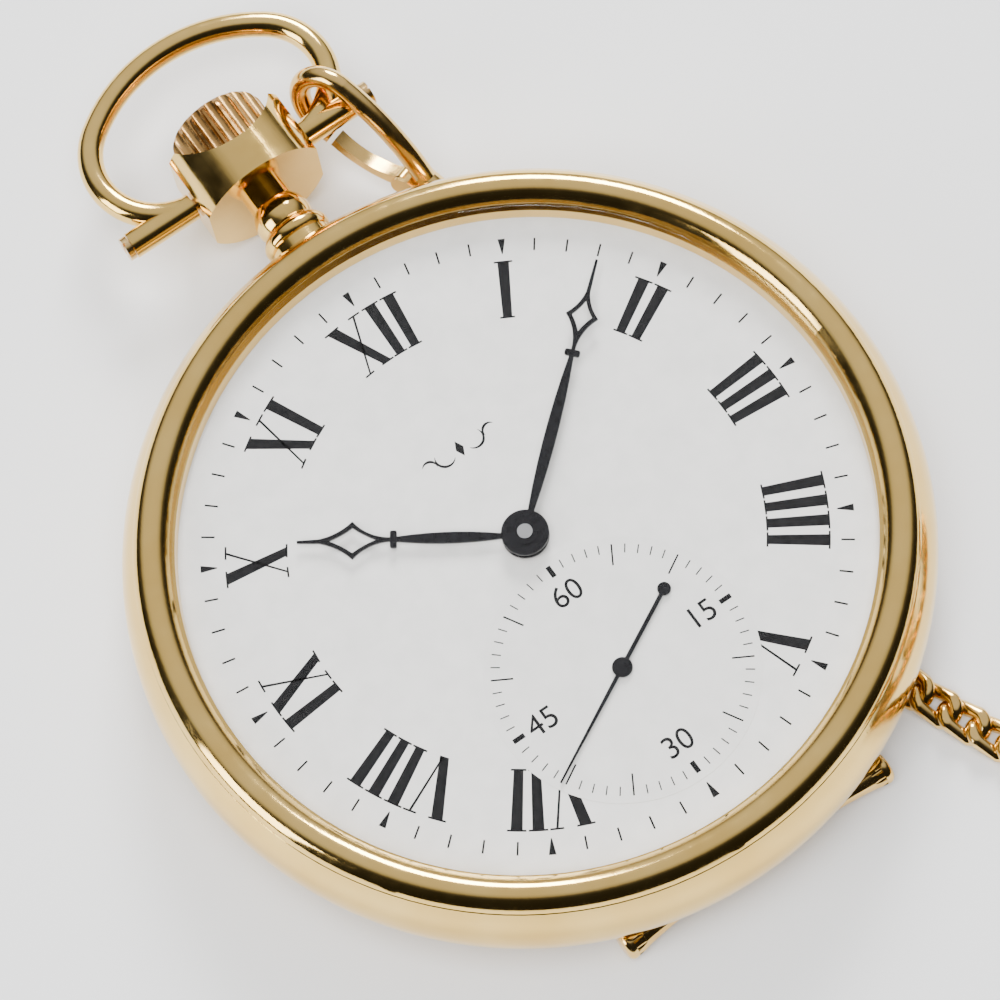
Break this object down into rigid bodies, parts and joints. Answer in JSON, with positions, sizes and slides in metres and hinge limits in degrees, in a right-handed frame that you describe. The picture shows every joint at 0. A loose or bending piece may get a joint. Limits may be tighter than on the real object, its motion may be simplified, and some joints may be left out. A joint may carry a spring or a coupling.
{
  "type": "pocket watch",
  "caption": "Open-face hand-wound pocket watch with small seconds, fluted crown, stirrup bow and a curb chain with swivel clips and T-bar.",
  "frame": {"origin": "centre of the flat on the case back, on which the watch lies", "axes": "+Z out of the dial, +Y to twelve o'clock and the pendant, +X to three o'clock"},
  "size_m": [0.0773, 0.0879, 0.0094],
  "materials": {
    "yellow_gold": "polished",
    "chain_gold": "polished",
    "nickel_plate": "striped",
    "gilt_brass": "satin",
    "polished_steel": "polished",
    "blued_steel": "blued",
    "mineral_glass": "clear",
    "white_enamel": "glossy enamel",
    "black_hands": "glossy",
    "ruby": "polished"
  },
  "bodies": {
    "case": {"case_middle": "yellow_gold", "bezel": "yellow_gold", "crystal": "mineral_glass", "case_back": "yellow_gold", "pendant": "yellow_gold", "pendant_sleeve": "polished_steel", "bow_screws": "yellow_gold", "case_screws": "yellow_gold", "mainplate": "nickel_plate", "barrel_bridge": "nickel_plate", "train_bridge": "nickel_plate", "balance_cock": "nickel_plate", "pallet_bridge": "nickel_plate", "bridge_screws": "polished_steel", "train_jewels": "ruby", "dial": "white_enamel", "regulator": "nickel_plate", "yoke_spring": "blued_steel", "setting_cover": "nickel_plate", "click_spring": "blued_steel", "hairspring": "blued_steel", "bow_clip_body": "chain_gold", "fob_clip_body": "chain_gold", "chain_rings": "chain_gold", "t_bar": "chain_gold", "chain_run": "chain_gold", "chain_coil": "chain_gold"},
    "bow": {"bow": "yellow_gold"},
    "seconds": {"fourth_wheel": "gilt_brass", "seconds_hand": "black_hands"},
    "third": {"third_wheel": "gilt_brass"},
    "centre": {"centre_arbor": "polished_steel", "centre_wheel": "gilt_brass", "cannon_pinion": "polished_steel", "minute_hand": "black_hands"},
    "barrel": {"mainspring_barrel": "gilt_brass", "barrel_cover": "gilt_brass", "mainspring": "blued_steel"},
    "escape": {"escape_wheel": "polished_steel"},
    "pallet": {"pallet_fork": "polished_steel", "pallet_stones": "ruby"},
    "balance": {"balance_wheel": "gilt_brass"},
    "minute_work": {"minute_wheel": "gilt_brass"},
    "hour": {"hour_wheel": "gilt_brass", "hour_hand": "black_hands"},
    "winding": {"winding_pinion": "polished_steel"},
    "stem": {"winding_stem": "polished_steel", "crown": "yellow_gold"},
    "sliding": {"sliding_pinion": "polished_steel"},
    "lever": {"setting_lever": "polished_steel"},
    "yoke": {"yoke": "polished_steel"},
    "crown_wheel": {"crown_wheel": "polished_steel"},
    "ratchet": {"ratchet_wheel": "polished_steel", "barrel_arbor": "polished_steel"},
    "click": {"click": "polished_steel"},
    "bow_gate": {"bow_clip_gate": "chain_gold"},
    "bow_eye": {"bow_clip_eye": "chain_gold"},
    "fob_gate": {"fob_clip_gate": "chain_gold"},
    "fob_eye": {"fob_clip_eye": "chain_gold"}
  },
  "joints": [
    {"name": "bow_swing", "type": "hinge", "parent": "case", "child": "bow", "pos_m": [0, 0.0302, 0.0046], "axis": [1, 0, 0], "range_deg": [-10, 15]},
    {"name": "seconds_turn", "type": "hinge", "parent": "case", "child": "seconds", "pos_m": [0, -0.00977, 0.003], "axis": [0, 0, -1], "continuous": true},
    {"name": "third_turn", "type": "hinge", "parent": "case", "child": "third", "pos_m": [0.00332, -0.00535, 0.003], "axis": [0, 0, -1], "continuous": true},
    {"name": "centre_turn", "type": "hinge", "parent": "case", "child": "centre", "pos_m": [0, 0, 0.003], "axis": [0, 0, -1], "continuous": true},
    {"name": "barrel_turn", "type": "hinge", "parent": "case", "child": "barrel", "pos_m": [-0.0062, 0.00549, 0.003], "axis": [0, 0, -1], "continuous": true},
    {"name": "escape_turn", "type": "hinge", "parent": "case", "child": "escape", "pos_m": [-0.00413, -0.01128, 0.003], "axis": [0, 0, -1], "continuous": true},
    {"name": "minute_work_turn", "type": "hinge", "parent": "case", "child": "minute_work", "pos_m": [-0.0032, 0.0042, 0.0055], "axis": [0, 0, -1], "continuous": true},
    {"name": "hour_turn", "type": "hinge", "parent": "case", "child": "hour", "pos_m": [0, 0, 0.003], "axis": [0, 0, -1], "continuous": true},
    {"name": "pallet_rock", "type": "hinge", "parent": "case", "child": "pallet", "pos_m": [-0.00628, -0.00918, 0.003], "axis": [0, 0, 1], "range_deg": [-5, 5]},
    {"name": "balance_swing", "type": "hinge", "parent": "case", "child": "balance", "pos_m": [-0.0086, -0.0069, 0.003], "axis": [0, 0, 1], "range_deg": [-270, 270]},
    {"name": "crown_turn", "type": "hinge", "parent": "case", "child": "winding", "pos_m": [0, 0.014, 0.0046], "axis": [0, 1, 0], "continuous": true},
    {"name": "stem_pull", "type": "slide", "parent": "winding", "child": "stem", "axis": [0, 1, 0], "range_m": [0, 0.0005]},
    {"name": "sliding_pinion_slide", "type": "slide", "parent": "winding", "child": "sliding", "axis": [0, 1, 0], "range_m": [-0.0004, 0]},
    {"name": "setting_lever_turn", "type": "hinge", "parent": "case", "child": "lever", "pos_m": [0.0034, 0.01585, 0.0055], "axis": [0, 0, 1], "range_deg": [-8.6, 0]},
    {"name": "yoke_turn", "type": "hinge", "parent": "case", "child": "yoke", "pos_m": [0.0036, 0.01195, 0.0055], "axis": [0, 0, 1], "range_deg": [0, 7.3]},
    {"name": "crown_wheel_turn", "type": "hinge", "parent": "case", "child": "crown_wheel", "pos_m": [0, 0.01135, 0.0015], "axis": [0, 0, 1], "continuous": true},
    {"name": "ratchet_turn", "type": "hinge", "parent": "case", "child": "ratchet", "pos_m": [-0.0062, 0.00549, 0.0015], "axis": [0, 0, 1], "continuous": true},
    {"name": "click_lift", "type": "hinge", "parent": "case", "child": "click", "pos_m": [-0.0133, 0.00674, 0.0012], "axis": [0, 0, 1], "range_deg": [0, 8]},
    {"name": "bow_gate_open", "type": "hinge", "parent": "case", "child": "bow_gate", "pos_m": [0.00797, 0.02532, 0.00189], "axis": [0.8446, 0.4116, -0.3423], "range_deg": [0, 10], "stiffness_Nm_per_rad": 0.00002, "springref_deg": -5.73},
    {"name": "bow_eye_swivel", "type": "hinge", "parent": "case", "child": "bow_eye", "pos_m": [0.00896, 0.02345, 0.0021], "axis": [0.3014, -0.894, -0.3315], "range_deg": [-4, 4]},
    {"name": "fob_gate_open", "type": "hinge", "parent": "case", "child": "fob_gate", "pos_m": [0.03948, -0.02995, 0.00125], "axis": [-0.0802, 0, 0.9968], "range_deg": [0, 18], "stiffness_Nm_per_rad": 0.00002, "springref_deg": -5.73},
    {"name": "fob_eye_swivel", "type": "hinge", "parent": "case", "child": "fob_eye", "pos_m": [0.04137, -0.0309, 0.00141], "axis": [0.9968, 0, 0.0802], "range_deg": [-12, 12]}
  ],
  "couplings": [
    {"joint": "third_turn", "follows": "seconds_turn", "ratio": -0.13333},
    {"joint": "centre_turn", "follows": "seconds_turn", "ratio": 0.016667},
    {"joint": "barrel_turn", "follows": "seconds_turn", "ratio": -0.0025},
    {"joint": "escape_turn", "follows": "seconds_turn", "ratio": -10},
    {"joint": "minute_work_turn", "follows": "seconds_turn", "ratio": -0.0055556},
    {"joint": "hour_turn", "follows": "seconds_turn", "ratio": 0.0013889},
    {"joint": "crown_wheel_turn", "follows": "crown_turn", "ratio": 0.6},
    {"joint": "ratchet_turn", "follows": "crown_turn", "ratio": -0.3},
    {"joint": "sliding_pinion_slide", "follows": "stem_pull", "ratio": -0.8},
    {"joint": "setting_lever_turn", "follows": "stem_pull", "rad_per_m": -294},
    {"joint": "yoke_turn", "follows": "stem_pull", "rad_per_m": 250}
  ]
}
